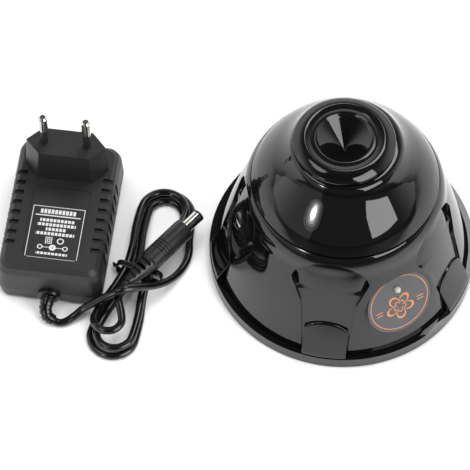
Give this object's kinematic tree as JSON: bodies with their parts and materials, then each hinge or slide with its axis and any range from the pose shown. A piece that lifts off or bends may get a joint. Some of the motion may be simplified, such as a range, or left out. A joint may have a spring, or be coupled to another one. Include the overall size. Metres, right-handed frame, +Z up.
{
  "type": "nail polish shaker",
  "caption": "Domed electric shaker for nail polish bottles, with an orbiting rubber cup on top, a flared base, a mains adaptor and its tied cord.",
  "frame": {"origin": "centre of the round base, at the height of the feet's undersides, on the floor", "axes": "+Z up along the motor's shaft, -Y towards the person who reads the label, -X towards the adaptor lying beside the machine"},
  "size_m": [0.2113, 0.118, 0.0948],
  "materials": {
    "black_gloss": "high gloss moulded",
    "black_satin": "fine textured moulded",
    "cup_rubber": "polished moulded",
    "foot_rubber": "plain moulded",
    "cord_black": "smooth extruded",
    "label_print": "satin printed film",
    "clear_lens": "clear moulded",
    "steel": "machined",
    "zinc_steel": "zinc plated",
    "chrome_pin": "nickel plated",
    "black_steel": "black oxide",
    "brass": "turned",
    "copper": "enamelled winding",
    "nylon": "natural moulded",
    "dark_nylon": "moulded",
    "magnet": "sintered",
    "board_green": "solder mask",
    "component": "moulded",
    "tape_yellow": "winding tape",
    "sleeve_blue": "shrunk sleeve",
    "wire_red": "extruded",
    "wire_black": "extruded"
  },
  "bodies": {
    "machine": {"base_plate": "black_satin", "rubber_feet": "foot_rubber", "base_screws": "zinc_steel", "lower_housing": "black_gloss", "label_disc": "label_print", "lamp": "clear_lens", "upper_dome": "black_gloss", "dome_screws": "zinc_steel", "motor_bracket": "steel", "isolators": "foot_rubber", "drive_screws": "zinc_steel", "motor_can": "zinc_steel", "motor_end_cap": "dark_nylon", "motor_magnets": "magnet", "motor_brushes": "magnet", "motor_terminals": "brass", "shaft_bushings": "brass", "switch_body": "black_satin", "switch_terminals": "brass", "dc_socket": "black_satin", "socket_contacts": "chrome_pin", "socket_nut": "zinc_steel", "circuit_board": "board_green", "board_parts": "component", "wire_supply": "wire_red", "wire_switched": "wire_red", "wire_return": "wire_black", "adaptor_top_shell": "black_satin", "adaptor_bottom_shell": "black_satin", "mains_pins": "chrome_pin", "pin_sleeves": "dark_nylon", "adaptor_board": "board_green", "transformer": "tape_yellow", "capacitors": "sleeve_blue", "strain_relief": "cord_black", "cord_run": "cord_black", "cord_hank": "cord_black", "cord_tail": "cord_black", "cord_tie": "cord_black", "plug_grip": "cord_black", "plug_barrel": "chrome_pin", "plug_tip": "dark_nylon"},
    "rotor": {"motor_shaft": "steel", "armature_core": "steel", "armature_windings": "copper", "commutator": "copper", "eccentric_hub": "steel", "counterweight": "brass", "grub_screw": "black_steel", "eccentric_pin": "steel", "bearing_inner_ring": "chrome_pin", "pin_screw": "black_steel"},
    "head": {"shaker_cup": "cup_rubber", "cup_hub": "nylon", "bearing_outer_ring": "chrome_pin", "bearing_clip": "black_steel", "bearing_balls": "chrome_pin", "bearing_cage": "brass"},
    "rocker": {"power_rocker": "black_satin"}
  },
  "joints": [
    {"name": "rotor_spin", "type": "hinge", "parent": "machine", "child": "rotor", "pos_m": [0, 0, 0.06], "axis": [0, 0, 1], "continuous": true},
    {"name": "head_orbit", "type": "hinge", "parent": "rotor", "child": "head", "pos_m": [-0.0012, 0, 0.076], "axis": [0, 0, 1], "continuous": true},
    {"name": "rocker_tilt", "type": "hinge", "parent": "machine", "child": "rocker", "pos_m": [0.0147, 0.04804, 0.0185], "axis": [0.9877, -0.1564, 0], "range_deg": [0, 20]}
  ]
}
